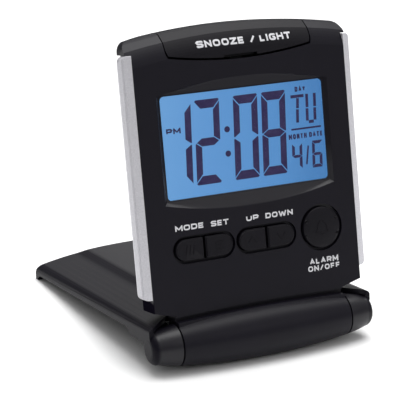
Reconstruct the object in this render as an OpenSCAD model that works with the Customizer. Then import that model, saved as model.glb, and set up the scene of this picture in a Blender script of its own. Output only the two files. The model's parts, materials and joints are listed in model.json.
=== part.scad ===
// Folding travel alarm clock. The clock leans back against its own cover, which
// swings about 276 degrees on two hinge pins to close over the face.
// Parts of the clock are drawn upright, with the hinge axis at the origin, Z up the
// face and Y into the clock. Depths are measured inwards from the face.
// Parts of the cover are drawn flat, with Y from the hinge to the far end.

/* [Case] */
// Width of the case between its two trims
body_w = 64.6; // [63:0.2:66]
// Height of the arched top's crest above the hinge axis
top_z = 85.9; // [85:0.1:87]
// Radius of the arch along the top and along the cover's far end
arch_r = 190; // [150:5:260]
// Thickness of the case at its two sides
side_depth = 7.2; // [6.8:0.1:7.6]
// Thickness of the case along its middle
centre_depth = 11.4; // [11.4:0.1:12]
// Thickness of the face plate
face_t = 1.7; // [1.6:0.1:1.8]
// How far the face stands in front of the hinge axis
face_offset = 1.3; // [1:0.1:1.6]
// Angle by which the open clock leans back
lean = 11; // [9:0.5:12]

/* [Display] */
// Width of the visible display
view_w = 49.6; // [46:0.2:50]
// Height of the visible display
view_h = 28.1; // [26:0.1:28.6]
// Height of the display's centre above the hinge axis
view_z = 53.65; // [53:0.05:54.5]
// Depth of the dished recess around the display
dish_depth = 0.9; // [0.6:0.1:1]

/* [Buttons] */
// Height of the button row's centre above the hinge axis
key_z = 25.7; // [25:0.1:26.5]
// Width of each pair of small buttons
key_pair_w = 17.2; // [16:0.1:17.6]
// Height of the small buttons
key_h = 5.9; // [5:0.1:6.2]
// Diameter of the alarm button
alarm_d = 11.6; // [10:0.1:12]
// Width of the snooze bar
snooze_w = 44; // [40:0.5:46]

/* [Hinge] */
// Radius of the hinge barrel at its middle
barrel_r = 7.6; // [7.4:0.1:7.8]
// How much slimmer the barrel is at its ends than at its middle
barrel_bow = 1.65; // [1.4:0.05:1.9]
// Length of the hinge barrel
barrel_len = 52.1; // [50:0.1:53]
// Diameter of the hinge pins
pin_d = 2.4; // [2:0.1:2.8]

/* [Cover] */
// Width of the cover at its far end
cover_w = 71; // [70.6:0.2:71.6]
// Width over the hinge knuckles
hinge_w = 69.2; // [69:0.1:69.6]
// Length of the cover from the hinge axis to its far edge
cover_len = 87.6; // [87:0.1:88]
// Thickness of the cover's panel
cover_t = 1.4; // [1.2:0.1:1.6]
// Angle at which the open cover slopes down to its far end
cover_slope = 7.1; // [6.9:0.1:7.3]

/* [Hidden] */

$fn = 64;
big_fn = 720;            // facets of the large arches
floor_flat = 0.35;       // height cut off the barrel to stand on
axis_z = barrel_r - floor_flat;
axis_y = -40.197;        // puts the middle of the footprint at the origin
face_y = -face_offset;
half_w = body_w / 2;

// Case
parting_d = 4.1;         // depth of the joint between front and rear case
shoulder_w = 67.2;       // width above the trims
shoulder_z = 79.8;       // lower edge of the shoulders
case_bottom_z = 8.6;     // underside of the case beside the neck
wing_z = 9.7;            // underside of the case at its outer corners
neck_w = 52;
wall_t = 1.35;
inner_half_w = 30.8;
bevel_z = 79;            // where the face starts to curve back
crease_z = 83.5;         // crease between face and top edge
crease_d = 1.9;
bevel_steps = 6;
flat_half_w = 18;        // half width of the rear's flat middle
flank_steps = 8;

// Trims
trim_z0 = 13.4;
trim_z1 = 79.6;

// Display stack, by depth
window_front_d = 1.05;
window_back_d = 2;
glass_front_d = 2.05;
glass_t = 0.95;
guide_front_d = 4;
guide_back_d = 5.4;
frame_back_d = 5.6;
board_front_d = 5.7;
board_back_d = 6.6;

// Buttons
pair_left_x = -15.8;
pair_right_x = 3.4;
key_gap = 0.7;           // between the two buttons of a pair
alarm_x = 20.9;
alarm_z = 26.1;
recess_d = 1;            // depth of the recesses that the buttons stand in
recess_rim = 0.85;       // clear width around the buttons in their recesses
key_fit = 0.2;           // clearance around a button in the face plate
key_proud = 0.55;        // how far a small button stands out of the face
stem_tip_d = 2.9;

// Snooze bar
snooze_z = 76.45;        // lowest point of the bar's lower edge
snooze_gap = 0.6;
snooze_side_gap = 0.3;
snooze_depth = 7;
snooze_corner_r = 4;
snooze_edge_r = 122;
bar_z = 74.9;            // underside of the ledge below the snooze bar
ledge_z = 75.6;          // top of the ledge where the spring rests on it
hook_x = 18;             // middle of the hooks that hold the snooze bar in

// Battery, buzzer and screws
cell_z = 52;
cell_r = 10;
cell_t = 3.2;
cell_front_d = 6.85;
door_r = 12.4;
door_fit = 0.1;
buzzer_z = 27;
case_screw_x = 28.4;
case_screw_z = [14.2, 77.2];
board_screw_x = 24.2;
board_screw_z = [16.4, 73.3];

// Ridge and groove between the face and the barrel
ridge_crest = 7;
ridge_bow = 0.65;
ridge_out = 1.6;         // how far the ridge stands out of the face
groove_h = 1.2;
groove_d = 0.7;

// Hinge and cover
seam_gap = 0.45;
knuckle_x = barrel_len / 2 + seam_gap;
bow_rho = pow(barrel_len / 2, 2) / (2 * barrel_bow);
pin_fit = 0.05;
pin_in = 19;             // inner end of a hinge pin, from the middle of the clock
pin_out = 33;
half_cover = cover_w / 2;
half_hinge = hinge_w / 2;
edge_n = 7.4;            // height of the cover's outer face at its far corners
crown_rise = 2.3;
panel_rise = 0.45;
panel_x0 = 17;           // the raised middle's slope runs between these
panel_x1 = 21.3;
edge_r = 3;
pivot_n = 5;             // the crown shrinks towards this height at the hinge
hinge_crown = 0.45;
far_r = 2.2;             // rounding of the far edge
cover_front = 5.4;       // edge of the cover behind the barrel
lip_n = 3.2;

// ---------- helpers ----------

module body_frame() {
    translate([0, axis_y, axis_z]) rotate([-lean, 0, 0]) children();
}

module cover_frame() {
    translate([0, axis_y, axis_z]) rotate([-cover_slope, 0, 0]) children();
}

// Extrudes an outline drawn on the face from depth d0 to depth d1
module slab(d0, d1) {
    translate([0, face_y + d1, 0]) rotate([90, 0, 0]) linear_extrude(d1 - d0) children();
}

// Round bar that runs into the case at x, z
module peg(x, z, d0, d1, r) {
    translate([x, face_y + d1, z]) rotate([90, 0, 0]) cylinder(h = d1 - d0, r = r);
}

// Rectangle with round corners, centred
module rounded(w, h, r) {
    square([w - 2 * r, h], center = true);
    square([w, h - 2 * r], center = true);
    for (sx = [-1, 1], sy = [-1, 1])
        translate([sx * (w / 2 - r), sy * (h / 2 - r)]) circle(r);
}

module pill(w, h) {
    rounded(w, h, h / 2 - 0.001);
}

module mirrored() {
    children();
    mirror([1, 0, 0]) children();
}

module below_floor() {
    translate([-100, -150, -30]) cube([200, 300, 30]);
}

// ---------- shapes shared by several parts ----------

// Radius of the barrel and knuckles at a distance x from the middle
function spindle_r(x) = barrel_r - x * x / (2 * bow_rho);

// Radius of the arched top at the height z
function arch(z) = arch_r - (top_z - z);

// Depth of the rear face at a distance x from the middle
function rear_d(x) = centre_depth
    - (centre_depth - side_depth + 0.4)
    * pow(max(0, x - flat_half_w) / (shoulder_w / 2 - flat_half_w), 1.6);

bevel_points = [
    for (i = [0 : bevel_steps])
        let (t = i / bevel_steps) [arch(bevel_z + t * (crease_z - bevel_z)), crease_d * pow(t, 1.5)]
];

// Everything under the arched top with its curved front bevel
module case_form() {
    translate([0, face_y, top_z - arch_r]) rotate([-90, 0, 0]) rotate_extrude($fn = big_fn)
        polygon(concat(
            [[0, 0]],
            bevel_points,
            [[arch(85.5), 4.3], [arch(top_z), 5.3], [arch(top_z), centre_depth - 1.4]],
            [[arch(top_z - 1.2), centre_depth], [0, centre_depth]]
        ));
}

// Front view of the case, with its corners cut back beside the neck
module case_outline(bottom) {
    polygon([
        [-neck_w / 2, bottom], [neck_w / 2, bottom], [half_w, wing_z], [half_w, shoulder_z],
        [-half_w, shoulder_z], [-half_w, wing_z],
    ]);
    translate([-shoulder_w / 2, shoulder_z - 0.01]) square([shoulder_w, 0.71]);
    translate([-30.7, shoulder_z - 0.01]) square([61.4, 8]);
    intersection() {
        for (s = [-1, 1]) translate([s * 30.7, shoulder_z + 0.7]) circle(2.9);
        translate([-40, shoulder_z]) square([80, 10]);
    }
}

// Plan of the rear, between the parting line and the curved rear face
module rear_plan(inset_x, inset_d) {
    x1 = shoulder_w / 2 - inset_x;
    xs = [for (i = [0 : flank_steps]) x1 - i * (x1 - flat_half_w) / flank_steps];
    right = [for (x = xs) [x, rear_d(x) - inset_d]];
    left = [for (i = [flank_steps : -1 : 0]) [-xs[i], rear_d(xs[i]) - inset_d]];
    translate([0, face_y]) polygon(concat([[x1, parting_d - 0.5]], right, left, [[-x1, parting_d - 0.5]]));
}

// Outline of the snooze bar: curved below, with round lower corners
module snooze_outline(w, z) {
    intersection() {
        translate([0, z + snooze_edge_r]) circle(snooze_edge_r, $fn = big_fn);
        translate([0, z + 10]) rounded(w, 20, snooze_corner_r);
    }
}

// The dish around the display, as wide as its arcs at the face
module dish_outline() {
    dish_r = 109;
    intersection() {
        translate([0, 35.2 + dish_r]) circle(dish_r, $fn = 360);
        translate([0, 71.1 - dish_r]) circle(dish_r, $fn = 360);
        translate([0, view_z]) square([52.4, 40], center = true);
    }
}

module pair_outline(w, h) {
    for (x = [pair_left_x, pair_right_x]) translate([x, key_z]) pill(w, h);
}

// Half of a button pair: side -1 is the left one, 1 the right one
module key_outline(pair_x, side, grow) {
    intersection() {
        translate([pair_x, key_z]) pill(key_pair_w + 2 * grow, key_h + 2 * grow);
        translate([side > 0 ? pair_x + key_gap / 2 - grow : pair_x - 20 - key_gap / 2 + grow, key_z - 10])
            square([20, 20]);
    }
}

// ---------- case ----------

module barrel() {
    n = 16;
    xs = [for (i = [0 : n]) -barrel_len / 2 + i * barrel_len / n];
    rotate([0, 90, 0]) rotate_extrude()
        polygon(concat([[0, -barrel_len / 2]], [for (x = xs) [spindle_r(x), x]], [[0, barrel_len / 2]]));
}

// Top edge of the barrel, seen from the front
function ridge_z(x) = ridge_crest - ridge_bow * pow(2 * x / neck_w, 2);

// Strip along the barrel's top edge, from a height below it or from the edge itself to a height above
module ridge_outline(below, above) {
    xs = [for (i = [-8 : 8]) i * neck_w / 16];
    low = [for (x = xs) [x, below > 0 ? below : ridge_z(x)]];
    high = [for (i = [16 : -1 : 0]) [xs[i], ridge_z(xs[i]) + above]];
    polygon(concat(low, high));
}

module front_case() {
    color("#201f24") difference() {
        body_frame() {
            difference() {
                union() {
                    intersection() {
                        case_form();
                        slab(0, parting_d) case_outline(case_bottom_z - 0.6);
                    }
                    barrel();
                    slab(-ridge_out, 0.5) ridge_outline(3, 0);
                    translate([-neck_w / 2, face_y, 3]) cube([neck_w, 4.1, case_bottom_z - 3]);
                    translate([-neck_w / 2, face_y, 3]) cube([neck_w, 5.2, case_bottom_z - 3.1]);
                }
                slab(face_t, 9) translate([0, 43])
                    square([2 * inner_half_w, 2 * (bar_z - 43)], center = true);
                slab(face_t, parting_d) translate([-17, -3.5]) square([34, 20]);
                front_openings();
                slab(-9, groove_d) ridge_outline(0, groove_h);
                mirrored() translate([pin_in - 0.5, 0, 0]) rotate([0, 90, 0])
                    cylinder(h = 20, d = pin_d + 2 * pin_fit);
            }
            board_posts();
        }
        below_floor();
    }
}

module front_openings() {
    hull() {
        slab(-0.01, 0) dish_outline();
        slab(dish_depth - 0.01, dish_depth) translate([0, view_z])
            square([view_w + 1, view_h + 1], center = true);
    }
    slab(0, 3) translate([0, view_z]) rounded(view_w + 0.2, view_h + 0.2, 1.2);
    slab(-1, recess_d) pair_outline(key_pair_w + 2 * recess_rim, key_h + 2 * recess_rim);
    slab(0, 3) pair_outline(key_pair_w + 2 * key_fit, key_h + 2 * key_fit);
    peg(alarm_x, alarm_z, -1, recess_d, alarm_d / 2 + recess_rim);
    peg(alarm_x, alarm_z, 0, 3, alarm_d / 2 + key_fit);
    slab(-1, 9) snooze_outline(snooze_w + 2 * snooze_side_gap, snooze_z - snooze_gap);
    slab(2.9, 5) translate([-2.2, 70]) square([4.4, 8]);
    slab(2.9, 5) translate([-16, ledge_z]) square([32, 2]);
    for (s = [-1, 1]) peg(s * case_screw_x, case_screw_z[1], 1.1, 9, 0.85);
}

// Posts that the board is screwed to, and bosses for the case screws
module board_posts() {
    for (s = [-1, 1], z = board_screw_z) difference() {
        peg(s * board_screw_x, z, face_t - 0.2, board_front_d, 1.5);
        peg(s * board_screw_x, z, 2.5, 7, 0.7);
    }
    for (s = [-1, 1]) difference() {
        peg(s * case_screw_x, case_screw_z[0], face_t - 0.2, 6, 2);
        peg(s * case_screw_x, case_screw_z[0], 2.4, 7, 0.85);
    }
}

module rear_case() {
    color("#1d1c21") body_frame() difference() {
        union() {
            difference() {
                intersection() {
                    case_form();
                    slab(parting_d, centre_depth) case_outline(case_bottom_z);
                    linear_extrude(100) rear_plan(0, 0);
                }
                intersection() {
                    translate([0, 0, 10.2]) linear_extrude(70) rear_plan(2.8, wall_t);
                    slab(0, 12) translate([0, 45]) square([2 * inner_half_w, 80], center = true);
                }
            }
            rear_bosses();
        }
        slab(0, snooze_depth + 0.5) snooze_outline(snooze_w + 2 * snooze_side_gap, snooze_z - snooze_gap);
        rear_openings();
    }
}

module rear_bosses() {
    intersection() {
        linear_extrude(100) rear_plan(0.3, 0.3);
        union() {
            for (s = [-1, 1], z = case_screw_z)
                peg(s * case_screw_x, z, z < 40 ? 6.05 : parting_d, 11, 2.2);
            difference() {
                peg(0, cell_z, 7, 10.6, 15);
                peg(0, cell_z, 6, 9.3, 13.8);
            }
            difference() {
                peg(0, buzzer_z, 9.2, 10.6, 9.6);
                peg(0, buzzer_z, 9, 10.3, 8.2);
            }
        }
    }
}

module rear_openings() {
    peg(0, cell_z, 6, 12, door_r + door_fit);
    peg(0, cell_z, 6, 10.2, 13.8);
    for (a = [0, 120, 240]) body_turn(a, cell_z) slab(9, 12)
        translate([0, 13]) square([6.4, 2], center = true);
    for (s = [-1, 1], z = case_screw_z) {
        peg(s * case_screw_x, z, 0, 12, 1.1);
        peg(s * case_screw_x, z, 7, 12, 2);
    }
    for (a = [0 : 60 : 300]) body_turn(a, buzzer_z) peg(4, 0, 9, 12, 0.8);
    peg(0, buzzer_z, 9, 12, 0.8);
}

// Turns its children about the line into the case at x = 0 and the height z
module body_turn(angle, z) {
    translate([0, 0, z]) rotate([0, angle, 0]) children();
}

// Side strip: two facets with a groove between them
module trim() {
    intersection() {
        translate([0, 0, trim_z0]) linear_extrude(trim_z1 - trim_z0) translate([0, face_y])
            polygon([
                [half_w, 0], [34.45, 1], [34.5, 1.3], [34.78, 1.28],
                [35.3, 2.6], [35.3, 3.4], [34.6, parting_d], [half_w, parting_d],
            ]);
        slab(-1, 6) translate([half_w - 6 + 3.05, (trim_z0 + trim_z1) / 2])
            rounded(12, trim_z1 - trim_z0, 2.2);
    }
}

module left_trim() {
    color("#b4b3b9") body_frame() mirror([1, 0, 0]) trim();
}

module right_trim() {
    color("#b4b3b9") body_frame() trim();
}

// ---------- display ----------

module lcd_window() {
    color("#dfe8f2") body_frame() {
        slab(window_front_d, face_t) translate([0, view_z]) rounded(view_w, view_h, 1.1);
        slab(face_t, window_back_d) translate([0, view_z]) square([54, 31.6], center = true);
    }
}

module lcd_panel() {
    color("#5f9bd0") body_frame() {
        slab(glass_front_d, glass_front_d + glass_t) translate([0, 53.2]) square([52.4, 32.2], center = true);
        slab(glass_front_d + glass_t, glass_front_d + 2 * glass_t)
            translate([0, 54.95]) square([52.4, 28.7], center = true);
    }
}

module lcd_frame() {
    color("#e8e8e4") body_frame() slab(glass_front_d, frame_back_d) difference() {
        translate([0, 53.4]) square([56.4, 36], center = true);
        translate([0, 53.2]) square([52.6, 32.4], center = true);
    }
}

module lcd_connector() {
    color("#d78fa0") body_frame() slab(glass_front_d + glass_t, board_front_d)
        translate([0, 38.6]) square([46, 2.2], center = true);
}

module backlight_guide() {
    color("#f4f6f8") body_frame() slab(guide_front_d, guide_back_d)
        translate([1, 55]) square([50, 28], center = true);
}

module backlight_leds() {
    color("#f2efd8") body_frame() for (z = [48, 62])
        slab(guide_front_d + 0.1, board_front_d) translate([-25.2, z]) square([1.6, 3.2], center = true);
}

// ---------- electronics ----------

module main_board() {
    color("#1f6b3a") body_frame() difference() {
        slab(board_front_d, board_back_d) difference() {
            translate([0, 43.9]) square([57, 61.6], center = true);
            for (s = [-1, 1]) translate([s * case_screw_x, case_screw_z[0]]) circle(2.4);
            for (s = [-1, 1]) translate([s * hook_x, 75]) square([6, 5], center = true);
        }
        for (s = [-1, 1], z = board_screw_z) peg(s * board_screw_x, z, 5, 7, 0.95);
    }
}

module chip_blob() {
    color("#141414") body_frame() intersection() {
        peg(-17, 24, board_back_d, 9, 4.6);
        translate([-17, face_y + board_back_d - 7, 24]) sphere(8.4, $fn = 96);
    }
}

module quartz_crystal() {
    color("#c9ccd0") body_frame() {
        translate([13, face_y + board_back_d + 1.1, 16]) rotate([0, 90, 0]) cylinder(h = 6, r = 1);
        for (s = [-1, 1]) translate([11.2, face_y + board_back_d, 16 + s * 0.5 - 0.15])
            cube([0.3, 1.2, 0.3]);
        for (s = [-1, 1]) translate([11.2, face_y + board_back_d + 0.95, 16 + s * 0.5 - 0.15])
            cube([2, 0.3, 0.3]);
    }
}

// Rubber mat with one dome under each face button
module keypad_mat() {
    color("#8f9296") body_frame() {
        slab(4.9, board_front_d) difference() {
            translate([0, 24.5]) square([54, 19], center = true);
            for (s = [-1, 1]) translate([s * board_screw_x, board_screw_z[0]]) circle(1.8);
            for (s = [-1, 1]) translate([s * case_screw_x, case_screw_z[0]]) circle(2.4);
        }
        for (p = key_centres) translate([p[0], face_y + 4.9, p[1]]) rotate([90, 0, 0])
            cylinder(h = 4.9 - stem_tip_d - 0.02, r1 = 2.6, r2 = 1.6);
    }
}

key_centres = [
    [pair_left_x - key_pair_w / 4, key_z], [pair_left_x + key_pair_w / 4, key_z],
    [pair_right_x - key_pair_w / 4, key_z], [pair_right_x + key_pair_w / 4, key_z],
    [alarm_x, alarm_z],
];

// Small button: cap with a stepped edge, a flange behind the face plate and a stem
module key(pair_x, side) {
    body_frame() {
        slab(-key_proud, -key_proud + 0.3) key_outline(pair_x, side, -0.25);
        slab(-key_proud + 0.3, face_t + 0.05) key_outline(pair_x, side, 0);
        slab(face_t + 0.05, 2.3) intersection() {
            key_outline(pair_x, side, 0.3);
            translate([pair_x + side * (10 + 0.12), key_z]) square([20, 20], center = true);
        }
        peg(pair_x + side * key_pair_w / 4, key_z, 2.3, stem_tip_d, 1.4);
    }
}

module mode_button() {
    color("#1d1c21") key(pair_left_x, -1);
}

module set_button() {
    color("#1d1c21") key(pair_left_x, 1);
}

module up_button() {
    color("#1d1c21") key(pair_right_x, -1);
}

module down_button() {
    color("#1d1c21") key(pair_right_x, 1);
}

// Round button with a gently domed cap
module alarm_button() {
    color("#212026") body_frame() {
        intersection() {
            peg(alarm_x, alarm_z, -1, face_t + 0.05, alarm_d / 2);
            translate([alarm_x, face_y + 39.3, alarm_z]) sphere(40, $fn = 360);
        }
        peg(alarm_x, alarm_z, face_t + 0.05, 2.3, alarm_d / 2 + 0.7);
        peg(alarm_x, alarm_z, 2.3, stem_tip_d, 1.6);
    }
}

// ---------- snooze bar ----------

module snooze_button() {
    color("#26252a") body_frame() {
        difference() {
            intersection() {
                case_form();
                slab(0, snooze_depth) snooze_outline(snooze_w, snooze_z);
            }
            slab(2.9, 5.9) translate([-20, 70]) square([40, 12.6]);
            slab(-1, 1.7) translate([-5.1, 70]) square([10.2, snooze_z + 0.75 - 70]);
        }
        slab(3.1, 3.9) translate([-1.8, bar_z + 0.05]) square([3.6, 8]);
        for (s = [-1, 1]) {
            slab(5.9, snooze_depth) translate([s * hook_x, 76.4]) square([4, 6], center = true);
            slab(3.4, snooze_depth) translate([s * hook_x, 74]) square([4, 1.2], center = true);
        }
    }
}

// Pair of leaf springs that lift the bar, each with a foot on the ledge
module snooze_spring() {
    color("#c3c6ca") body_frame() mirrored() slab(3.1, 3.9) polygon([
        [7, ledge_z], [15, ledge_z], [15, ledge_z + 0.3], [8, ledge_z + 0.3],
        [17.4, 82.55], [17, 82.55], [7, ledge_z + 0.5],
    ]);
}

module snooze_switch() {
    color("#2b2b2e") body_frame() {
        slab(2.2, board_front_d) translate([0, 72.9]) square([6, 2.4], center = true);
        slab(3.1, 3.9) translate([-1, 74.1]) square([2, 0.3]);
    }
}

// ---------- battery, buzzer and fixings ----------

module coin_cell() {
    color("#c8cacc") body_frame() {
        peg(0, cell_z, cell_front_d + 0.3, cell_front_d + cell_t, cell_r);
        peg(0, cell_z, cell_front_d, cell_front_d + 0.3, 8.6);
    }
}

module cell_minus_contact() {
    color("#d6c9a4") body_frame() slab(board_back_d, cell_front_d) translate([0, cell_z])
        rounded(12, 5, 1);
}

module cell_plus_contact() {
    color("#d6c9a4") body_frame() {
        slab(board_back_d, 9.2) translate([cell_r + 0.05, cell_z - 3]) square([0.3, 6]);
        slab(board_back_d, board_back_d + 0.3) translate([cell_r + 0.3, cell_z - 3]) square([3, 6]);
    }
}

// Round door with three lugs, turned with a coin
module battery_door() {
    color("#1d1c21") body_frame() difference() {
        union() {
            peg(0, cell_z, 10.15, centre_depth, door_r);
            difference() {
                peg(0, cell_z, 9.4, 10.15, 12.2);
                peg(0, cell_z, 9, 10.5, 10.5);
            }
            for (a = [60, 180, 300]) body_turn(a, cell_z) slab(9.4, 10.1) intersection() {
                translate([0, 12.5]) square([5.6, 3], center = true);
                circle(13.6);
            }
        }
        body_turn(0, cell_z) slab(centre_depth - 0.7, 12) pill(16, 2);
    }
}

module buzzer() {
    color("#c9a24a") body_frame() {
        peg(0, buzzer_z, 8.85, 9.1, 9);
        peg(0, buzzer_z, 8.65, 8.85, 6.5);
    }
}

module buzzer_pins() {
    color("#d6c9a4") body_frame() {
        peg(7.8, buzzer_z, board_back_d, 8.85, 0.45);
        peg(-4, buzzer_z, board_back_d, 8.65, 0.45);
    }
}

// Screw with a flat head that has a cross slot
module screw(x, z, tip_d, head_d, head_h, core_r, head_r) {
    difference() {
        union() {
            peg(x, z, tip_d, head_d, core_r);
            peg(x, z, head_d, head_d + head_h, head_r);
        }
        for (a = [0, 90]) translate([x, 0, z]) rotate([0, a, 0]) slab(head_d + head_h - 0.45, 12)
            square([1.6 * head_r, 0.45], center = true);
    }
}

module case_screws() {
    color("#9a9da1") body_frame() for (s = [-1, 1]) {
        screw(s * case_screw_x, case_screw_z[0], 2.6, 7, 1, 0.8, 1.7);
        screw(s * case_screw_x, case_screw_z[1], 1.2, 7, 1, 0.8, 1.7);
    }
}

module board_screws() {
    color("#b9bcc0") body_frame() for (s = [-1, 1], z = board_screw_z)
        screw(s * board_screw_x, z, 2.7, board_back_d, 0.8, 0.65, 1.4);
}

// ---------- cover and hinge ----------

// Height of the cover's outer face at a distance x from its middle
function panel_blend(x) = x < panel_x0 ? 1 : x > panel_x1 ? 0
    : 0.5 + 0.5 * cos(180 * (x - panel_x0) / (panel_x1 - panel_x0));
function cover_n(x) = edge_n + crown_rise * (1 - pow(x / half_cover, 3)) + panel_rise * panel_blend(x);

cover_xs = concat(
    [for (i = [0 : 6]) i * panel_x0 / 6],
    [for (i = [1 : 5]) panel_x0 + i * (panel_x1 - panel_x0) / 5],
    [for (i = [1 : 5]) panel_x1 + i * (half_cover - edge_r - panel_x1) / 5]
);

// Right half of the cross-section's upper line, from the middle outwards
function cover_line(inset) = concat(
    [for (x = cover_xs) [x, cover_n(x) - pivot_n]],
    [for (a = [75 : -15 : 0]) [
        half_cover - edge_r + (edge_r - inset) * cos(a),
        cover_n(half_cover - edge_r) - pivot_n - (edge_r - inset) * (1 - sin(a)),
    ]]
);

module cover_section(inset) {
    right = cover_line(inset);
    last = len(right) - 1;
    left = [for (i = [last : -1 : 1]) [-right[i][0], right[i][1]]];
    end_x = half_cover - inset;
    polygon(concat(right, [[end_x, -14], [-end_x, -14]], left));
}

// Plan of the cover, inset from its far end and sides
module cover_plan(inset) {
    intersection() {
        translate([0, cover_len - arch_r]) circle(arch_r - inset, $fn = big_fn);
        translate([0, (cover_len - 2) / 2])
            rounded(cover_w - 2 * inset, cover_len + 20 - 2 * inset, 2.2 - inset);
    }
}

// Solid under the crowned face, which gets lower and narrower towards the hinge
module cover_blank(inset, bottom) {
    intersection() {
        translate([0, cover_len, pivot_n - inset]) rotate([90, 0, 0])
            linear_extrude(cover_len + 5, scale = [hinge_w / cover_w, hinge_crown], slices = 1)
                cover_section(inset);
        translate([0, 0, bottom]) linear_extrude(30) cover_plan(inset);
    }
}

// What the rounding of the far edge takes away. The edge is nearly a circle in a tilted plane.
module far_rounding() {
    tilt = 38.5;
    edge_rho = 150.5;
    reach = far_r / cos(11.25);
    outline = [
        [5, -far_r - 8],
        [reach * cos(33.75) - far_r, reach * sin(33.75) - far_r],
        [reach * cos(56.25) - far_r, reach * sin(56.25) - far_r],
        [-far_r - 8, 5],
        [8, 8],
    ];
    translate([0, cover_len, cover_n(0)]) rotate([tilt, 0, 0]) translate([0, -edge_rho, 0])
        rotate([0, 0, 60]) rotate_extrude(angle = 60, $fn = 360)
            polygon([for (p = outline) [
                edge_rho + p[0] * cos(tilt) + p[1] * sin(tilt),
                p[1] * cos(tilt) - p[0] * sin(tilt),
            ]]);
}

module knuckle() {
    n = 6;
    x1 = half_hinge;
    end_r = 2.2;
    drop = 0.4;
    reach = x1 - end_r - knuckle_x;
    tip = spindle_r(x1 - end_r) - drop - end_r;
    along = [for (i = [0 : n]) i / n];
    rotate([0, 90, 0]) rotate_extrude() polygon(concat(
        [[0, knuckle_x]],
        [for (t = along) [spindle_r(knuckle_x + t * reach) - drop * pow(t, 2), knuckle_x + t * reach]],
        [for (a = [72 : -18 : 0]) [tip + end_r * sin(a), x1 - end_r + end_r * cos(a)]],
        [[0, x1]]
    ));
}

module cover() {
    color("#4a494e") difference() {
        cover_frame() difference() {
            union() {
                difference() {
                    cover_blank(0, lip_n);
                    far_rounding();
                    cover_blank(cover_t, 0);
                    cover_front_cut();
                    cover_side_cut();
                }
                mirrored() knuckle();
                mirrored() cover_arm();
                cover_catch();
            }
            mirrored() translate([pin_in, 0, 0]) rotate([0, 90, 0])
                cylinder(h = pin_out - pin_in + 0.1, d = pin_d + 0.02);
        }
        below_floor();
    }
}

// Clears the barrel and cuts the corners of the panel back to the knuckles
module cover_front_cut() {
    translate([0, 0, -5]) linear_extrude(20) polygon([
        [-40, -20], [40, -20], [40, -1.6], [33.4, -1.6], [barrel_len / 2 + 0.4, cover_front],
        [-barrel_len / 2 - 0.4, cover_front], [-33.4, -1.6], [-40, -1.6],
    ]);
}

// Lifts the lower edge of the side walls, short of the lip at the far end
module cover_side_cut() {
    lip_t = 1.7;
    translate([-50, 0, 0]) rotate([90, 0, 90]) linear_extrude(100) polygon([
        [13.8, 0], [13.8, 3.44], [cover_len - 7, 4.65], [cover_len - 4.2 - lip_t, 4.4],
        [cover_len - 3.4 - lip_t, 3.7], [cover_len - 3.2 - lip_t, 0],
    ]);
}

// Side wall that carries the knuckle, and the web that joins the two inside
module cover_arm() {
    arm_t = 1.5;
    translate([half_hinge - arm_t, 0, 0]) rotate([90, 0, 90]) linear_extrude(arm_t - 0.05) polygon([
        [-1.6, 0], [0, -2.6], [3.2, 1.2], [12, 1.4], [13.8, 3.44], [13.8, 4.6], [-1.6, 4.6],
    ]);
    translate([knuckle_x, 0, 0]) rotate([90, 0, 90]) linear_extrude(half_hinge - 1 - knuckle_x) polygon([
        [0, 0], [3, 0], [6.6, 3.6], [6.6, 5.2], [5, 5.2], [0, 4.2],
    ]);
}

// Catch that enters the slot under the snooze bar when the cover is shut
module cover_catch() {
    translate([-4.5, 75.87, 3.3]) cube([9, 0.68, 5.6]);
    translate([-4.5, 76.3, 7.4]) cube([9, 1.4, 1.5]);
}

module hinge_pin() {
    translate([pin_in, 0, 0]) rotate([0, 90, 0]) cylinder(h = pin_out - pin_in, d = pin_d);
}

module left_hinge_pin() {
    color("#c3c6ca") cover_frame() mirror([1, 0, 0]) hinge_pin();
}

module right_hinge_pin() {
    color("#c3c6ca") cover_frame() hinge_pin();
}

module hinge_washers() {
    color("#2a2a2c") body_frame() mirrored() translate([barrel_len / 2 + 0.03, 0, 0]) rotate([0, 90, 0])
        difference() {
            cylinder(h = seam_gap - 0.08, r = 4.2);
            translate([0, 0, -1]) cylinder(h = 3, d = pin_d + 0.3);
        }
}

front_case();
rear_case();
left_trim();
right_trim();
lcd_window();
lcd_panel();
lcd_frame();
lcd_connector();
backlight_guide();
backlight_leds();
main_board();
chip_blob();
quartz_crystal();
keypad_mat();
mode_button();
set_button();
up_button();
down_button();
alarm_button();
snooze_button();
snooze_spring();
snooze_switch();
coin_cell();
cell_minus_contact();
cell_plus_contact();
battery_door();
buzzer();
buzzer_pins();
case_screws();
board_screws();
cover();
left_hinge_pin();
right_hinge_pin();
hinge_washers();
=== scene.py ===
"""Looks of the folding travel alarm clock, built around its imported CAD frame."""

import json
import math

import bmesh
import bpy
from mathutils import Matrix, Vector
from mathutils.bvhtree import BVHTree


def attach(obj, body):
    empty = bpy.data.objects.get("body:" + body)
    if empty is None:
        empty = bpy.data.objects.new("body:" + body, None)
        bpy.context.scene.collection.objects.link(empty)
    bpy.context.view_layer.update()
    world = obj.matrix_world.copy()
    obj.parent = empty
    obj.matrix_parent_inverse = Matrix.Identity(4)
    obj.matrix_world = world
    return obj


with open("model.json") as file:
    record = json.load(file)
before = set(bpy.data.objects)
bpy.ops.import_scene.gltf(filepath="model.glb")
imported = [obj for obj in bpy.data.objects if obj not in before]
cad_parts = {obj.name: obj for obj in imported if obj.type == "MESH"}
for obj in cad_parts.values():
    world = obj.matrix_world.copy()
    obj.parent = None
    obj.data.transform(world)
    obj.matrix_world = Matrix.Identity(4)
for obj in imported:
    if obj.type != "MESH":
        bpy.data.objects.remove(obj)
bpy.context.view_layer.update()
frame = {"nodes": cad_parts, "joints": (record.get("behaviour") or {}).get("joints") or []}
nodes = frame["nodes"]
joints = {j["name"]: j for j in frame["joints"]}

MM = 0.001

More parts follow.
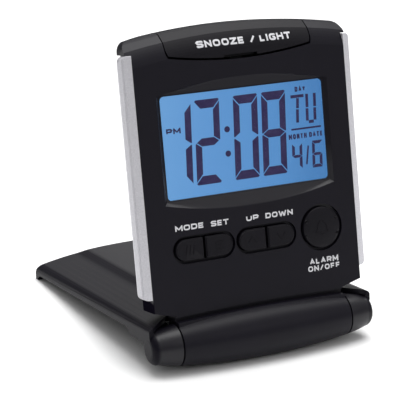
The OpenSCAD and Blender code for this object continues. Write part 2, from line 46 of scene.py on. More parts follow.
# ---------- the clock body's own frame: X right, Y into the case, Z up its face ----------

HINGE = Vector(joints["cover_hinge"]["pos_m"])
INWARD = Vector(joints["mode_press"]["axis"]).normalized()
UP = Vector((1, 0, 0)).cross(INWARD)
CASE = Matrix.Translation(HINGE) @ Matrix((Vector((1, 0, 0)), INWARD, UP)).transposed().to_4x4()
TO_CASE = CASE.inverted()


def case_points(node):
    """A node's vertices in the body's own frame, in millimetres."""
    return [(TO_CASE @ v.co) / MM for v in nodes[node].data.vertices]


def case_box(node):
    """Lowest and highest corner of a node in the body's own frame, in millimetres."""
    points = case_points(node)
    low = Vector([min(p[i] for p in points) for i in range(3)])
    high = Vector([max(p[i] for p in points) for i in range(3)])
    return low, high


def in_case(x, y, z):
    """World position of a point given in the body's own frame, in millimetres."""
    return CASE @ (Vector((x, y, z)) * MM)


ABOVE_BARREL = 20
FACE_Y = min(p.y for p in case_points("front_case") if p.z > ABOVE_BARREL)
PANEL_LOW, PANEL_HIGH = case_box("lcd_panel")


# ---------- materials ----------


def srgb(r, g, b):
    """Linear colour of an 8-bit sRGB triple."""
    return tuple(
        c / 12.92 if c <= 0.04045 else ((c + 0.055) / 1.055) ** 2.4 for c in (r / 255, g / 255, b / 255)
    ) + (1.0,)


def grey(tone):
    """A neutral linear colour."""
    return (tone, tone, tone, 1)


class Nodes:
    """Small helper for building a material's node tree."""

    def __init__(self, name):
        self.material = bpy.data.materials.new(name)
        self.material.use_nodes = True
        self.tree = self.material.node_tree
        self.shader = self.tree.nodes["Principled BSDF"]

    def add(self, kind, **settings):
        node = self.tree.nodes.new(kind)
        for key, value in settings.items():
            setattr(node, key, value)
        return node

    def link(self, source, target):
        self.tree.links.new(source, target)

    def set(self, **values):
        for key, value in values.items():
            self.shader.inputs[key.replace("_", " ")].default_value = value

    def coordinates(self, stretch=(1, 1, 1)):
        """Object coordinates, so that a texture moves with its part."""
        where = self.add("ShaderNodeTexCoord")
        mapping = self.add("ShaderNodeMapping")
        mapping.inputs["Scale"].default_value = stretch
        self.link(where.outputs["Object"], mapping.inputs["Vector"])
        return mapping.outputs["Vector"]

    def noise(self, vector, scale, detail=2.0, roughness=0.5):
        noise = self.add("ShaderNodeTexNoise")
        noise.inputs["Scale"].default_value = scale
        noise.inputs["Detail"].default_value = detail
        noise.inputs["Roughness"].default_value = roughness
        self.link(vector, noise.inputs["Vector"])
        return noise.outputs["Fac"]

    def ramp(self, factor, stops):
        """A colour for each (position, colour) stop, blended between them."""
        ramp = self.add("ShaderNodeValToRGB")
        while len(ramp.color_ramp.elements) < len(stops):
            ramp.color_ramp.elements.new(0.5)
        for element, (position, colour) in zip(ramp.color_ramp.elements, stops):
            element.position = position
            element.color = colour
        self.link(factor, ramp.inputs["Fac"])
        return ramp.outputs["Color"]

    def range(self, factor, low, high):
        """A factor from 0 to 1, rescaled to run from low to high."""
        rescale = self.add("ShaderNodeMapRange")
        rescale.inputs["To Min"].default_value = low
        rescale.inputs["To Max"].default_value = high
        self.link(factor, rescale.inputs["Value"])
        return rescale.outputs["Result"]

    def share(self, value, start, end):
        """How far a value is from start to end, from 0 to 1."""
        rescale = self.add("ShaderNodeMapRange")
        rescale.inputs["From Min"].default_value = start
        rescale.inputs["From Max"].default_value = end
        self.link(value, rescale.inputs["Value"])
        return rescale.outputs["Result"]

    def bump(self, height, strength, distance):
        bump = self.add("ShaderNodeBump")
        bump.inputs["Strength"].default_value = strength
        bump.inputs["Distance"].default_value = distance
        self.link(height, bump.inputs["Height"])
        self.link(bump.outputs["Normal"], self.shader.inputs["Normal"])


GRAIN_DEPTH, FLAKE_DEPTH, MARK_DEPTH = 0.04 * MM, 0.03 * MM, 0.02 * MM
GLOSS_SWING = 0.06

# Painted sheen and shade across the cover's gloss: distance out from its middle in millimetres, and gloss
# there. The middle panel is painted shiny, and the valleys and outer edge are painted dull as shade.
COVER_REACH = 36.0
COVER_PANEL = [(0, 0.8), (16.2, 0.75)]
COVER_VALLEY = [(18.0, 0.09), (20.4, 0.09)]
COVER_SIDE = [(22.6, 0.34), (32.4, 0.35)]
COVER_EDGE = [(33.4, 0.08)]

# Where painted shade and highlight change the gloss of the case (painted shade on the side walls below the
# trims, a painted highlight in the lower dish): start and end of each change, in millimetres.
SIDE_WALLS = (32.0, 32.2)
BELOW_TRIMS = (20.5, 19.5)
UNDER_FACE = (0.03, 0.12)
DISH_DEPTH = (2.5, 2.0)
DISH_BOTTOM = (37.0, 38.0)
DISH_MIDDLE = (56.0, 50.0)
# The case's plain gloss, and the painted highlight added to it in the lower dish.
CASE_SHEEN = 0.17
DISH_PAINTED_HIGHLIGHT = 0.22


def place(m, axis, low, high, absolute=False):
    """How far along an axis a point is, from 0 at low to 1 at high, in millimetres."""
    split = m.add("ShaderNodeSeparateXYZ")
    m.link(m.add("ShaderNodeTexCoord").outputs["Object"], split.inputs["Vector"])
    along = split.outputs[axis]
    if absolute:
        size = m.add("ShaderNodeMath", operation="ABSOLUTE")
        m.link(along, size.inputs[0])
        along = size.outputs["Value"]
    return m.share(along, low * MM, high * MM)


def cover_painted_light(m):
    """Painted sheen and shade on the cover: its middle panel is painted shiny, and the valleys beside it
    and its outer edges are painted dull as shade.
    """
    stops = COVER_PANEL + COVER_VALLEY + COVER_SIDE + COVER_EDGE
    from_middle = place(m, "X", 0, COVER_REACH, absolute=True)
    return m.ramp(from_middle, [(x / COVER_REACH, grey(shine)) for x, shine in stops])


def below_face(m, start, end):
    """How deep a point lies below the face plane, from 0 at start to 1 at end, in millimetres."""
    depth = m.add("ShaderNodeVectorMath", operation="DOT_PRODUCT")
    m.link(m.add("ShaderNodeTexCoord").outputs["Object"], depth.inputs[0])
    depth.inputs[1].default_value = INWARD
    face = HINGE.dot(INWARD) / MM + FACE_Y
    return m.share(depth.outputs["Value"], (face + start) * MM, (face + end) * MM)


def product(m, *factors):
    """All the factors multiplied together."""
    result = factors[0]
    for factor in factors[1:]:
        both = m.add("ShaderNodeMath", operation="MULTIPLY")
        m.link(result, both.inputs[0])
        m.link(factor, both.inputs[1])
        result = both.outputs["Value"]
    return result


def case_painted_light(m):
    """Painted shade and highlight on the case: its side walls below the trims are painted dull as shade,
    and the lower part of the dish gets a painted highlight.
    """
    side = product(m, place(m, "X", *SIDE_WALLS, absolute=True), place(m, "Z", *BELOW_TRIMS))
    in_dish = product(m, below_face(m, *UNDER_FACE), below_face(m, *DISH_DEPTH))
    dish = product(m, in_dish, place(m, "Z", *DISH_BOTTOM), place(m, "Z", *DISH_MIDDLE))
    shine = m.add("ShaderNodeMath", operation="ADD")
    m.link(m.range(side, CASE_SHEEN, 0.0), shine.inputs[0])
    m.link(m.range(dish, 0.0, DISH_PAINTED_HIGHLIGHT), shine.inputs[1])
    return shine.outputs["Value"]


def plastic(
    name, colour, roughness, grain=0.35, specular=0.5, speckle=0.06, grain_scale=5200, painted_light=None
):
    """Moulded plastic: spark-eroded grain, faint mottling and slightly uneven gloss, with painted shade and
    highlights laid into its specular level where painted light is given.
    """
    m = Nodes(name)
    where = m.coordinates()
    cloudy = m.noise(where, 180, 3)
    fine = m.noise(where, grain_scale, 3, 0.6)
    light = tuple(min(1, c * (1 + speckle)) for c in colour[:3]) + (1,)
    dark = tuple(c * (1 - speckle) for c in colour[:3]) + (1,)
    m.link(m.ramp(cloudy, [(0.3, dark), (0.7, light)]), m.shader.inputs["Base Color"])
    m.link(m.range(fine, roughness - GLOSS_SWING, roughness + GLOSS_SWING), m.shader.inputs["Roughness"])
    m.set(Specular_IOR_Level=specular)
    # Where given, painted shade and highlights are laid into the specular level by position.
    if painted_light:
        m.link(painted_light(m), m.shader.inputs["Specular IOR Level"])
    m.bump(fine, grain, GRAIN_DEPTH)
    return m.material


def silver_paint(name):
    """Satin silver paint with fine metal flake."""
    m = Nodes(name)
    where = m.coordinates()
    flake = m.noise(where, 5200, 2, 0.7)
    cloudy = m.noise(where, 240, 2)
    m.link(
        m.ramp(flake, [(0.3, srgb(184, 183, 189)), (0.7, srgb(222, 221, 226))]),
        m.shader.inputs["Base Color"],
    )
    m.link(m.range(cloudy, 0.34, 0.46), m.shader.inputs["Roughness"])
    m.set(Metallic=0.4)
    m.bump(flake, 0.15, FLAKE_DEPTH)
    return m.material


def lit_display(name):
    """Liquid crystal panel lit from behind: brighter at the left, where its lamps are."""
    m = Nodes(name)
    where = m.add("ShaderNodeTexCoord")
    split = m.add("ShaderNodeSeparateXYZ")
    m.link(where.outputs["Object"], split.inputs["Vector"])
    across = m.share(split.outputs["X"], PANEL_LOW.x * MM, PANEL_HIGH.x * MM)
    patchy = m.noise(where.outputs["Object"], 60, 2)
    mixed = m.add("ShaderNodeMath", operation="MULTIPLY_ADD")
    mixed.inputs[1].default_value = 0.12
    m.link(patchy, mixed.inputs[0])
    m.link(across, mixed.inputs[2])
    glow = m.ramp(
        mixed.outputs["Value"],
        [
            (0.0, srgb(107, 159, 211)),
            (0.35, srgb(94, 147, 203)),
            (0.75, srgb(84, 138, 194)),
            (1.0, srgb(72, 124, 180)),
        ],
    )
    m.link(glow, m.shader.inputs["Emission Color"])
    m.set(Base_Color=(0.01, 0.02, 0.04, 1), Emission_Strength=1.0, Roughness=0.4, Specular_IOR_Level=0.1)
    return m.material


def display_ink(name):
    """Dark segments of the display, seen against its light."""
    m = Nodes(name)
    patchy = m.noise(m.coordinates(), 900, 2)
    glow = m.ramp(patchy, [(0.3, srgb(40, 34, 66)), (0.7, srgb(50, 43, 78))])
    m.link(glow, m.shader.inputs["Emission Color"])
    m.set(Base_Color=(0.01, 0.01, 0.02, 1), Emission_Strength=1.0, Roughness=0.5, Specular_IOR_Level=0.1)
    return m.material


def clear_window(name):
    """Clear plastic with the faintest haze."""
    m = Nodes(name)
    haze = m.noise(m.coordinates(), 700, 2)
    m.link(m.range(haze, 0.02, 0.05), m.shader.inputs["Roughness"])
    m.set(Base_Color=(1, 1, 1, 1), Transmission_Weight=1.0, IOR=1.15)
    return m.material


def printed_ink(name, colour):
    """Pad-printed ink: matt, with slightly uneven cover."""
    m = Nodes(name)
    patchy = m.noise(m.coordinates(), 3000, 3)
    dark = tuple(c * 0.86 for c in colour[:3]) + (1,)
    m.link(m.ramp(patchy, [(0.25, dark), (0.6, colour)]), m.shader.inputs["Base Color"])
    m.link(m.range(patchy, 0.5, 0.65), m.shader.inputs["Roughness"])
    return m.material


def metal(name, colour, roughness, stretch=(1, 1, 1), variation=0.08):
    """Bare or plated metal with fine marks."""
    m = Nodes(name)
    marks = m.noise(m.coordinates(stretch), 1500, 3, 0.6)
    dark = tuple(c * (1 - variation) for c in colour[:3]) + (1,)
    m.link(m.ramp(marks, [(0.3, dark), (0.7, colour)]), m.shader.inputs["Base Color"])
    m.link(m.range(marks, roughness - 0.05, roughness + 0.08), m.shader.inputs["Roughness"])
    m.set(Metallic=1.0)
    m.bump(marks, 0.1, MARK_DEPTH)
    return m.material


def circuit_board(name):
    """Green laminate with a faint weave."""
    m = Nodes(name)
    where = m.coordinates()
    weave = m.add("ShaderNodeTexVoronoi")
    weave.inputs["Scale"].default_value = 1500
    m.link(where, weave.inputs["Vector"])
    m.link(
        m.ramp(weave.outputs["Distance"], [(0.1, srgb(20, 84, 44)), (0.8, srgb(32, 108, 60))]),
        m.shader.inputs["Base Color"],
    )
    m.set(Roughness=0.35, Coat_Weight=0.4)
    m.bump(weave.outputs["Distance"], 0.1, FLAKE_DEPTH)
    return m.material


BLACK = srgb(15, 13, 22)
# The case, rear and cover plastics get painted shade and highlights in their gloss.
MATERIALS = {
    "case": plastic("case_plastic", BLACK, 0.42, painted_light=case_painted_light),
    "rear": plastic("rear_plastic", BLACK, 0.52, 0.6, grain_scale=3400, painted_light=case_painted_light),
    "button": plastic("button_plastic", srgb(12, 10, 17), 0.5, 0.5, specular=0.16),
    "cover": plastic("cover_plastic", srgb(15, 13, 21), 0.36, 0.5, grain_scale=4200, painted_light=cover_painted_light),
    "silver": silver_paint("trim_silver"),
    "display": lit_display("display_light"),
    "ink": display_ink("display_segments"),
    "window": clear_window("window_clear"),
    "print": printed_ink("label_ink", srgb(214, 214, 218)),
    "white": plastic("frame_white", srgb(232, 232, 226), 0.5, 0.3),
    "pink": plastic("connector_rubber", srgb(214, 150, 162), 0.7, 0.5),
    "guide": plastic("guide_clear", srgb(232, 236, 240), 0.2, 0.1),
    "led": plastic("lamp_plastic", srgb(240, 236, 200), 0.35, 0.1),
    "board": circuit_board("board_green"),
    "blob": plastic("chip_epoxy", srgb(18, 18, 18), 0.25, 0.3),
    "rubber": plastic("mat_rubber", srgb(142, 146, 150), 0.75, 0.5),
    "switch": plastic("switch_black", srgb(44, 44, 46), 0.5, 0.3),
    "spring": metal("blackened_spring", srgb(34, 34, 38), 0.45),
    "steel": metal("bright_steel", srgb(196, 198, 202), 0.28, (1, 1, 6)),
    "can": metal("plated_can", srgb(200, 202, 206), 0.22),
    "brass": metal("tinned_brass", srgb(214, 200, 160), 0.32, (6, 1, 1)),
    "buzzer": metal("buzzer_brass", srgb(200, 160, 76), 0.35),
    "screw": metal("zinc_screw", srgb(156, 160, 164), 0.35),
    "washer": plastic("washer_nylon", srgb(34, 34, 36), 0.5, 0.2),
}

NODE_MATERIAL = {
    "front_case": "case", "rear_case": "rear", "left_trim": "silver", "right_trim": "silver",
    "lcd_window": "window", "lcd_panel": "display", "lcd_frame": "white", "lcd_connector": "pink",
    "backlight_guide": "guide", "backlight_leds": "led", "main_board": "board", "chip_blob": "blob",
    "quartz_crystal": "can", "keypad_mat": "rubber", "mode_button": "button", "set_button": "button",
    "up_button": "button", "down_button": "button", "alarm_button": "button", "snooze_button": "button",
    "snooze_spring": "spring", "snooze_switch": "switch", "coin_cell": "can", "cell_minus_contact": "brass",
    "cell_plus_contact": "brass", "battery_door": "rear", "buzzer": "buzzer", "buzzer_pins": "brass",
    "case_screws": "screw", "board_screws": "screw", "cover": "cover", "left_hinge_pin": "steel",
    "right_hinge_pin": "steel", "hinge_washers": "washer",
}
EDGE_RADIUS = {
    "left_trim": 0.12, "right_trim": 0.12, "mode_button": 0.15, "set_button": 0.15, "up_button": 0.15,
    "down_button": 0.15, "alarm_button": 0.25,
}
WELD_DISTANCE = 0.002
BEVEL_STEPS = 2
BEVEL_ANGLE = math.radians(35)


def dress(node):
    """Gives a CAD node its material, and slightly rounded edges where it shows."""
    shape = nodes[node]
    shape.data.materials.clear()
    shape.data.materials.append(MATERIALS[NODE_MATERIAL[node]])
    if node in EDGE_RADIUS:
        weld = shape.modifiers.new("weld", "WELD")
        weld.merge_threshold = WELD_DISTANCE * MM
        bevel = shape.modifiers.new("edges", "BEVEL")
        bevel.width = EDGE_RADIUS[node] * MM
        bevel.segments = BEVEL_STEPS
        bevel.limit_method = "ANGLE"
        bevel.angle_limit = BEVEL_ANGLE
        bevel.use_clamp_overlap = False


for node_name in NODE_MATERIAL:
    dress(node_name)


# ---------- thin shapes laid on the face ----------

MITRE_LIMIT = 0.45
STROKE_STEP = 0.45
RAY_START = 5


def add_piece(name, mesh_data, material, body):
    """Puts a piece in the scene, riding on a body."""
    piece = bpy.data.objects.new(name, mesh_data)
    bpy.context.scene.collection.objects.link(piece)
    mesh_data.materials.append(MATERIALS[material])
    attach(piece, body)
    return piece


def flat_prism(shape, outline, surface, low, high):
    """Adds a closed prism over a face outline, from low to high above the depth surface(x, z)."""
    rings = []
    for height in (low, high):
        rings.append([shape.verts.new(in_case(x, surface(x, z) - height, z)) for x, z in outline])
    count = len(outline)
    shape.faces.new(rings[1])
    shape.faces.new(list(reversed(rings[0])))
    for i in range(count):
        j = (i + 1) % count
        shape.faces.new((rings[0][i], rings[0][j], rings[1][j], rings[1][i]))


def close_mesh(name, shape):
    """The finished mesh, with its faces turned outwards."""
    bmesh.ops.recalc_face_normals(shape, faces=shape.faces)
    mesh_data = bpy.data.meshes.new(name)
    shape.to_mesh(mesh_data)
    shape.free()
    return mesh_data


def disc(x, z, radius, steps=32):
    """Outline of a circle on the face."""
    return [
        (x + radius * math.cos(math.tau * i / steps), z + radius * math.sin(math.tau * i / steps))
        for i in range(steps)
    ]


def softened(points, radius, closed):
    """A polyline with each corner replaced by a short curve."""
    count = len(points)
    result = []
    for i, corner in enumerate(points):
        if not closed and i in (0, count - 1):
            result.append(corner)
            continue
        before, after = Vector(points[i - 1]), Vector(points[(i + 1) % count])
        here = Vector(corner)
        reach = min(radius, (before - here).length / 2, (after - here).length / 2)
        start = here + (before - here).normalized() * reach
        end = here + (after - here).normalized() * reach
        for t in (0, 0.25, 0.5, 0.75, 1):
            result.append(tuple(start * (1 - t) ** 2 + here * 2 * t * (1 - t) + end * t * t))
    return result


def stroke_sides(points, width, closed):
    """Left and right edge points of a stroke of even width along a polyline, with mitred corners."""
    count = len(points)
    left, right = [], []
    for i in range(count):
        here = Vector(points[i])
        ahead = Vector(points[(i + 1) % count]) - here if closed or i < count - 1 else None
        behind = here - Vector(points[i - 1]) if closed or i > 0 else None
        ahead = (ahead or behind).normalized()
        behind = (behind or ahead).normalized()
        normal_a = Vector((-ahead.y, ahead.x))
        normal_b = Vector((-behind.y, behind.x))
        middle = (normal_a + normal_b).normalized()
        reach = width / 2 / max(MITRE_LIMIT, middle.dot(normal_a))
        left.append(here + middle * reach)
        right.append(here - middle * reach)
    return left, right


def stepped(points, step, closed):
    """The same polyline with points no further apart than a step, so that it follows a curved surface."""
    result = []
    ends = points[1:] + points[:1] if closed else points[1:]
    for start, end in zip(points, ends):
        span = Vector(end) - Vector(start)
        parts = max(1, math.ceil(span.length / step))
        result += [tuple(Vector(start) + span * (i / parts)) for i in range(parts)]
    return result if closed else result + [points[-1]]


def stroke(shape, points, width, closed, surface, low, high):
    """Adds a stroke as one closed strip of boxes that share their corners."""
    points = stepped(points, STROKE_STEP, closed)
    left, right = stroke_sides(points, width, closed)
    count = len(points)
    rings = []
    for a, b in zip(left, right):
        ring = []
        for x, z, height in ((a.x, a.y, low), (b.x, b.y, low), (b.x, b.y, high), (a.x, a.y, high)):
            ring.append(shape.verts.new(in_case(x, surface(x, z) - height, z)))
        rings.append(ring)
    steps = count if closed else count - 1
    for i in range(steps):
        first, second = rings[i], rings[(i + 1) % count]
        for k in range(4):
            n = (k + 1) % 4
            shape.faces.new((first[k], first[n], second[n], second[k]))
    if not closed:
        shape.faces.new(rings[0])
        shape.faces.new(list(reversed(rings[-1])))


EDGE = 0.18
LETTER_GAP = 0.22
LETTER_CORNER = 0.34

# Each letter is its share of a word's width, then its strokes in a unit square. A stroke has sharp
# corners, soft corners, or is a closed ring with soft corners. EDGE carries a stroke's end outwards.
SOFT, SHARP, RING = "soft", "sharp", "ring"
LETTERS = {
    "A": (1.05, [(SHARP, [(0, 0), (0.5, 1), (1, 0)]), (SHARP, [(0.2, 0.3), (0.8, 0.3)])]),
    "D": (
        1.0,
        [
            (SHARP, [(0.3, 1), (0, 1), (0, 0), (0.3, 0)]),
            (SOFT, [(0.3, 1), (1, 1), (1, 0), (0.3, 0)]),
        ],
    ),
    "E": (0.9, [(SHARP, [(1, 0), (0, 0), (0, 1), (1, 1)]), (SHARP, [(0, 0.5), (0.95, 0.5)])]),
    "F": (0.88, [(SHARP, [(0, 0), (0, 1), (1, 1)]), (SHARP, [(0, 0.47), (0.9, 0.47)])]),
    "G": (1.0, [(SOFT, [(1, 0.82), (1, 1), (0, 1), (0, 0), (1, 0), (1, 0.5), (0.55, 0.5)])]),
    "H": (
        1.0,
        [
            (SHARP, [(0, -EDGE), (0, 1 + EDGE)]),
            (SHARP, [(1, -EDGE), (1, 1 + EDGE)]),
            (SHARP, [(0, 0.5), (1, 0.5)]),
        ],
    ),
    "I": (0.0, [(SHARP, [(0.5, -EDGE), (0.5, 1 + EDGE)])]),
    "L": (0.82, [(SHARP, [(0, 1), (0, 0), (1, 0)])]),
    "M": (
        1.2,
        [
            (SHARP, [(0, -EDGE), (0, 1 + EDGE)]),
            (SHARP, [(1, -EDGE), (1, 1 + EDGE)]),
            (SHARP, [(0.06, 0.92), (0.5, 0.18)]),
            (SHARP, [(0.94, 0.92), (0.5, 0.18)]),
        ],
    ),
    "N": (
        1.0,
        [
            (SHARP, [(0, -EDGE), (0, 1 + EDGE)]),
            (SHARP, [(1, -EDGE), (1, 1 + EDGE)]),
            (SHARP, [(0.06, 0.94), (0.94, 0.06)]),
        ],
    ),
    "O": (1.05, [(RING, [(0, 0), (0, 1), (1, 1), (1, 0)])]),
    "P": (0.95, [(SHARP, [(0, 0), (0, 1), (0.3, 1)]), (SOFT, [(0.3, 1), (1, 1), (1, 0.38), (0, 0.38)])]),
    "R": (
        1.0,
        [
            (SHARP, [(0, 0), (0, 1), (0.3, 1)]),
            (SOFT, [(0.3, 1), (1, 1), (1, 0.42), (0, 0.42)]),
            (SHARP, [(0.6, 0.42), (1, 0)]),
        ],
    ),
    "S": (
        0.98,
        [(SOFT, [(1, 0.78), (1, 1), (0, 1), (0, 0.52), (1, 0.48), (1, 0), (0, 0), (0, 0.22)])],
    ),
    "T": (0.95, [(SHARP, [(-EDGE, 1), (1 + EDGE, 1)]), (SHARP, [(0.5, 1), (0.5, -EDGE)])]),
    "U": (1.0, [(SOFT, [(0, 1), (0, 0), (1, 0), (1, 1)])]),
    "W": (
        1.45,
        [
            (SHARP, [(0, 1 + EDGE), (0.24, -EDGE)]),
            (SHARP, [(0.48, 0.95), (0.26, -EDGE)]),
            (SHARP, [(0.52, 0.95), (0.74, -EDGE)]),
            (SHARP, [(1, 1 + EDGE), (0.76, -EDGE)]),
        ],
    ),
    "Y": (1.0, [(SHARP, [(0, 1), (0.5, 0.45), (1, 1)]), (SHARP, [(0.5, 0.45), (0.5, 0)])]),
    "Z": (
        0.95,
        [
            (SHARP, [(-EDGE, 1), (1 + EDGE, 1)]),
            (SHARP, [(-EDGE, 0), (1 + EDGE, 0)]),
            (SHARP, [(0.94, 0.94), (0.06, 0.06)]),
        ],
    ),
    "/": (0.8, [(SHARP, [(0, -0.08), (1, 1.08)])]),
}


def write(shape, text, x0, x1, z0, cap, weight, surface, low, high):
    """Writes a word between x0 and x1 on the baseline z0, with letters of one cap height."""
    line = cap * weight
    gap = cap * LETTER_GAP
    bars = text.count("I")
    total = sum(LETTERS[c][0] for c in text)
    unit = (x1 - x0 - gap * (len(text) - 1) - bars * line) / total
    x = x0
    for c in text:
        share, strokes = LETTERS[c]
        width = share * unit if share else line
        for kind, points in strokes:
            placed = []
            for px, pz in points:
                z = z0 + line / 2 + pz * (cap - line)
                placed.append((x + line / 2 + px * max(width - line, 0), z))
            if kind != SHARP:
                placed = softened(placed, cap * LETTER_CORNER, kind == RING)
            stroke(shape, placed, line, kind == RING, surface, low, high)
        x += width + gap


def level(y):
    """A flat surface at one depth."""
    return lambda x, z: y


def surface_of(node):
    """Depth of a CAD node's front at a place on the face, found by looking straight in."""
    source = nodes[node].data
    tree = BVHTree.FromPolygons(
        [v.co for v in source.vertices], [tuple(p.vertices) for p in source.polygons]
    )

    def depth(x, z):
        hit = tree.ray_cast(in_case(x, FACE_Y - RAY_START, z), INWARD)[0]
        return (TO_CASE @ hit).y / MM if hit else FACE_Y

    return depth


# ---------- printed words ----------

INK_LOW, INK_HIGH = -0.02, 0.05
# Each word: text, left end, right end, baseline, cap height and stroke weight.
FACE_WORDS = (
    ("MODE", -24.0, -15.4, 31.15, 1.5, 0.25),
    ("SET", -13.2, -7.9, 31.05, 1.5, 0.25),
    ("UP", -2.4, 1.4, 31.0, 1.5, 0.25),
    ("DOWN", 3.6, 12.2, 30.95, 1.5, 0.25),
    ("ALARM", 16.4, 25.6, 15.9, 1.6, 0.24),
    ("ON/OFF", 15.7, 26.0, 13.9, 1.55, 0.24),
)
SNOOZE_WORDS = (
    ("SNOOZE", -12.8, 1.6, 79.8, 1.85, 0.27),
    ("/", 3.3, 5.0, 79.8, 1.85, 0.27),
    ("LIGHT", 6.4, 16.1, 79.8, 1.85, 0.27),
)


def printed_words(name, words, surface, body):
    """One piece with all the words printed on a surface."""
    shape = bmesh.new()
    for text, x0, x1, z0, cap, weight in words:
        write(shape, text, x0, x1, z0, cap, weight, surface, INK_LOW, INK_HIGH)
    return add_piece(name, close_mesh(name, shape), "print", body)


# ---------- display ----------

SEG_LOW, SEG_HIGH = 0.005, 0.04
SLANT = 0.05
TIME_MIDDLE, DATE_MIDDLE = 54.1, 46.7
TIME = (("1", -19.72), ("2", -11.12), ("0", 0.63), ("8", 9.35))
DATE = (("4", 16.05), ("6", 22.45))
COLON = ((-5.05, 56.8), (-5.3, 50.1))
COLON_RADIUS = 0.85
SEGMENTS = {
    "0": "abcdef", "1": "bc", "2": "abged", "4": "fgbc", "6": "afgecd", "8": "abcdefg",
}


def segment_outlines(width, height, side, cap, gap):
    """Outlines of the seven segments about the digit's centre, before slanting."""
    w, h = width / 2, height / 2
    tip = 0.2 * side
    slope = (cap - tip) / (side - gap / 2)
    drop = gap * math.hypot(1, slope)
    top = [
        (-w + tip, h), (w - tip, h), (w, h - tip), (w - side + gap / 2, h - cap),
        (-w + side - gap / 2, h - cap), (-w, h - tip),
    ]
    upper_left = [
        (-w, h - tip - drop), (-w + side, h - tip - drop - slope * side),
        (-w + side, 0.5 * cap + 0.6 * gap), (-w + 0.12 * side, 0.75 * gap), (-w, 0.2 * side),
    ]
    middle = [
        (-w + 0.2 * side, 0), (-w + side, 0.5 * cap - 0.4 * gap), (w - side, 0.5 * cap - 0.4 * gap),
        (w - 0.2 * side, 0), (w - side, -0.5 * cap + 0.4 * gap), (-w + side, -0.5 * cap + 0.4 * gap),
    ]
    flip_x = [(-x, z) for x, z in reversed(upper_left)]
    return {
        "a": top,
        "b": flip_x,
        "c": [(x, -z) for x, z in reversed(flip_x)],
        "d": [(x, -z) for x, z in reversed(top)],
        "e": [(x, -z) for x, z in reversed(upper_left)],
        "f": upper_left,
        "g": middle,
    }


def slanted(points, x, z):
    """An outline leaning right, moved to its place."""
    return [(x + px + SLANT * pz, z + pz) for px, pz in points]


def digit(shape, value, x, z, size, surface):
    """Adds one digit, centred at x, z."""
    outlines = segment_outlines(*size)
    for name in SEGMENTS[value]:
        flat_prism(shape, slanted(outlines[name], x, z), surface, SEG_LOW, SEG_HIGH)


# Digit sizes: width, height, side width, cap depth and gap.
BIG = (7.5, 23.2, 1.9, 2.4, 0.27)
SMALL = (3.2, 7.6, 0.86, 0.9, 0.13)
# Words as on the face: text, left end, right end, baseline, cap height and stroke weight.
DISPLAY_WORDS = (
    ("PM", -23.3, -19.0, 57.35, 1.55, 0.28),
    ("DAY", 16.8, 20.1, 64.72, 1.4, 0.27),
    ("MONTH", 13.8, 19.5, 51.6, 1.4, 0.26),
    ("DATE", 20.3, 24.6, 51.6, 1.4, 0.26),
)
# The two letters of the day, the rule below them and the slash of the date, each with its width.
DAY_BAR, RULE = 0.86, 0.5
DISPLAY_STROKES = (
    ([(15.3, 63.45), (19.45, 63.45)], DAY_BAR),
    ([(17.5, 62.9), (17.25, 60.1)], DAY_BAR),
    ([(17.2, 59.8), (16.95, 56.1)], DAY_BAR),
    ([(20.45, 63.8), (20.3, 60.1)], DAY_BAR),
    ([(20.25, 59.75), (20.1, 56.3)], DAY_BAR),
    ([(22.9, 63.8), (22.75, 60.1)], DAY_BAR),
    ([(22.7, 59.75), (22.55, 56.3)], DAY_BAR),
    ([(20.55, 55.95), (22.1, 55.95)], DAY_BAR),
    ([(14.8, 54.3), (24.25, 54.3)], RULE),
    ([(18.85, 44.1), (19.75, 49.3)], RULE),
)


def display_segments():
    """Time, date, day and the small words of the display, as one thin layer."""
    shape = bmesh.new()
    front = level(PANEL_LOW.y)
    for value, x in TIME:
        digit(shape, value, x, TIME_MIDDLE, BIG, front)
    for x, z in COLON:
        flat_prism(shape, disc(x, z, COLON_RADIUS), front, SEG_LOW, SEG_HIGH)
    for value, x in DATE:
        digit(shape, value, x, DATE_MIDDLE, SMALL, front)
    for points, width in DISPLAY_STROKES:
        stroke(shape, points, width, False, front, SEG_LOW, SEG_HIGH)
    for text, x0, x1, z0, cap, weight in DISPLAY_WORDS:
        write(shape, text, x0, x1, z0, cap, weight, front, SEG_LOW, SEG_HIGH)
    return add_piece("display_segments", close_mesh("display_segments", shape), "ink", "clock")


# ---------- raised signs on the buttons ----------

SIGN_LOW, SIGN_HIGH = -0.05, 0.1
SIGN_LINE = 0.3
SIGN_CORNER = 0.7
BELL = [(-2.2, -1.5), (-1.5, -0.6), (-1.4, 1.0), (0, 2.1), (1.4, 1.0), (1.5, -0.6), (2.2, -1.5)]
CLAPPER = [(-0.5, -2.1), (0.5, -2.1)]
SIGNS = {
    "mode": [(SHARP, [(d, -1.3), (d + 0.5, 1.3)]) for d in (-1.2, -0.1, 1.0)],
    "set": [(SHARP, [(-1.3, d), (1.3, d)]) for d in (-1.0, 0, 1.0)],
    "up": [(SHARP, [(-1.3, -0.7), (0, 0.9), (1.3, -0.7)])],
    "down": [(SHARP, [(-1.3, 0.7), (0, -0.9), (1.3, 0.7)])],
    "alarm": [(RING, BELL), (SHARP, CLAPPER)],
}


def node_centre(node):
    """Middle of a node on the face."""
    low, high = case_box(node)
    return (low.x + high.x) / 2, (low.z + high.z) / 2


def button_signs():
    """A plain raised sign on each face button."""
    for button, strokes in SIGNS.items():
        shape = bmesh.new()
        front = surface_of(button + "_button")
        cx, cz = node_centre(button + "_button")
        for kind, points in strokes:
            placed = [(cx + x, cz + z) for x, z in points]
            if kind == RING:
                placed = softened(placed, SIGN_CORNER, True)
            stroke(shape, placed, SIGN_LINE, kind == RING, front, SIGN_LOW, SIGN_HIGH)
        name = button + "_sign"
        add_piece(name, close_mesh(name, shape), "button", button + "_body")


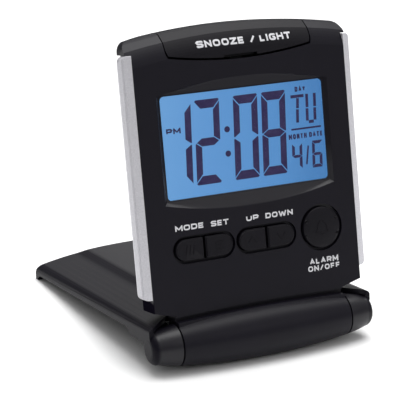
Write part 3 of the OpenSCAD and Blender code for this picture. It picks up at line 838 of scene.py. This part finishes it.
printed_words("face_words", FACE_WORDS, level(FACE_Y), "clock")
printed_words("snooze_words", SNOOZE_WORDS, surface_of("snooze_button"), "snooze_body")
display_segments()
button_signs()


# ---------- floor, light and camera ----------

FLOOR_HALF = 3.0
FLOOR_TONES = (0.93, 0.95)
SKY_LOW, SKY_HIGH = 0.03, 0.95
AZIMUTH, ELEVATION = math.radians(26.06), math.radians(18.02)
CAMERA_FROM_HINGE = Vector((-209.45, -394.65, 180.83))
LENS, SENSOR = 148.7, 36


def floor():
    """A nearly white floor, faintly mottled."""
    shape = bmesh.new()
    for x, y in ((-1, -1), (1, -1), (1, 1), (-1, 1)):
        shape.verts.new((x * FLOOR_HALF, y * FLOOR_HALF, 0))
    shape.faces.new(shape.verts)
    mesh_data = close_mesh("floor", shape)
    plane = bpy.data.objects.new("floor", mesh_data)
    bpy.context.scene.collection.objects.link(plane)
    m = Nodes("floor_white")
    cloudy = m.noise(m.coordinates(), 4, 2)
    tone = m.ramp(cloudy, [(0.3, grey(FLOOR_TONES[0])), (0.7, grey(FLOOR_TONES[1]))])
    m.link(tone, m.shader.inputs["Base Color"])
    m.set(Roughness=0.6, Specular_IOR_Level=0.2)
    mesh_data.materials.append(m.material)


def softbox(name, at, aim, size, power):
    """A rectangular area light pointed at a place."""
    light = bpy.data.lights.new(name, "AREA")
    light.shape = "RECTANGLE"
    light.size, light.size_y = size
    light.energy = power
    lamp = bpy.data.objects.new(name, light)
    bpy.context.scene.collection.objects.link(lamp)
    lamp.location = at
    lamp.rotation_euler = (Vector(aim) - Vector(at)).to_track_quat("-Z", "Y").to_euler()


def surroundings():
    """A plain sky, dim at the horizon and bright overhead."""
    world = bpy.data.worlds.new("studio")
    bpy.context.scene.world = world
    world.use_nodes = True
    tree = world.node_tree
    where = tree.nodes.new("ShaderNodeTexCoord")
    split = tree.nodes.new("ShaderNodeSeparateXYZ")
    sky = tree.nodes.new("ShaderNodeValToRGB")
    tree.links.new(where.outputs["Generated"], split.inputs["Vector"])
    tree.links.new(split.outputs["Z"], sky.inputs["Fac"])
    tree.links.new(sky.outputs["Color"], tree.nodes["Background"].inputs["Color"])
    sky.color_ramp.elements[0].color = grey(SKY_LOW)
    sky.color_ramp.elements[1].color = grey(SKY_HIGH)


def camera():
    """The photograph's view: from the front left, looking slightly down."""
    level_reach = math.cos(ELEVATION)
    forward = Vector(
        (math.sin(AZIMUTH) * level_reach, math.cos(AZIMUTH) * level_reach, -math.sin(ELEVATION))
    )
    data = bpy.data.cameras.new("camera")
    data.sensor_width = SENSOR
    data.lens = LENS
    data.clip_start, data.clip_end = 0.01, 20
    view = bpy.data.objects.new("camera", data)
    bpy.context.scene.collection.objects.link(view)
    view.location = HINGE + CAMERA_FROM_HINGE * MM
    view.rotation_euler = forward.to_track_quat("-Z", "Y").to_euler()
    bpy.context.scene.camera = view


floor()
surroundings()
softbox("overhead", at=(0.2, 0.15, 1.0), aim=(0, 0, 0.03), size=(0.9, 1.0), power=12.4)
softbox("front_right", at=(0.36, -0.74, 0.44), aim=(0, 0, 0.05), size=(0.6, 0.3), power=0.6)
camera()
bpy.context.scene.view_settings.view_transform = "Standard"
